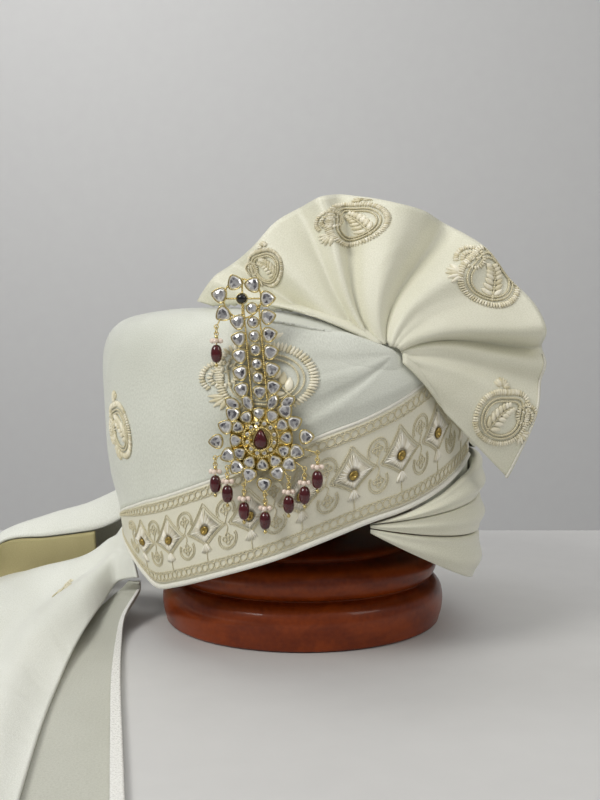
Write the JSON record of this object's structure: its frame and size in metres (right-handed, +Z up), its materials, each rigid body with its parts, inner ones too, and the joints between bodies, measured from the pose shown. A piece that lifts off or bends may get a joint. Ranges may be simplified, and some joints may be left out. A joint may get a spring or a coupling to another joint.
{
  "type": "tied turban with kalgi brooch and turned wooden stand",
  "caption": "Ivory silk wedding turban, ready tied, with a pleated turra fan, embroidered band, trailing tail and jewelled brooch, on a turned wooden stand.",
  "frame": {"origin": "centre of the stand's foot, on the surface it stands on", "axes": "+Z up through the stand's post, -Y towards the pictured side, +X to that side's right"},
  "size_m": [0.363, 0.4188, 0.2453],
  "materials": {
    "varnished_wood": "turned, stained red-brown and varnished",
    "ivory_silk": "satin silk with a fine sparkle",
    "ivory_silk_shaded": "satin silk, the shaded inner side",
    "embroidered_band": "silk with raised metal-thread embroidery",
    "white_piping": "matte corded piping",
    "gilt_setting": "gilt metal with foil-backed stones",
    "red_glass": "polished dark red glass",
    "black_glass": "polished black glass"
  },
  "bodies": {
    "root": {"stand_base": "varnished_wood", "stand_post": "varnished_wood", "stand_rest": "varnished_wood", "crown_shell": "ivory_silk_shaded", "front_drape": "ivory_silk", "border_band": "embroidered_band", "band_piping": "white_piping", "nape_wrap_low": "ivory_silk", "nape_wrap_middle": "ivory_silk", "nape_wrap_high": "ivory_silk", "back_wrap_low": "ivory_silk", "back_wrap_high": "ivory_silk", "turra_fan": "ivory_silk", "tail_front": "ivory_silk", "tail_hem": "ivory_silk", "tail_back": "ivory_silk_shaded", "kalgi_setting": "gilt_setting", "kalgi_centre_stone": "red_glass", "kalgi_black_stone": "black_glass", "drop_1_link": "gilt_setting", "drop_1_pin": "gilt_setting", "drop_1_bead": "red_glass", "drop_2_link": "gilt_setting", "drop_2_pin": "gilt_setting", "drop_2_bead": "red_glass", "drop_3_link": "gilt_setting", "drop_3_pin": "gilt_setting", "drop_3_bead": "red_glass", "drop_4_link": "gilt_setting", "drop_4_pin": "gilt_setting", "drop_4_bead": "red_glass", "drop_5_link": "gilt_setting", "drop_5_pin": "gilt_setting", "drop_5_bead": "red_glass", "drop_6_link": "gilt_setting", "drop_6_pin": "gilt_setting", "drop_6_bead": "red_glass", "drop_7_link": "gilt_setting", "drop_7_pin": "gilt_setting", "drop_7_bead": "red_glass", "drop_8_link": "gilt_setting", "drop_8_pin": "gilt_setting", "drop_8_bead": "red_glass"}
  },
  "joints": []
}
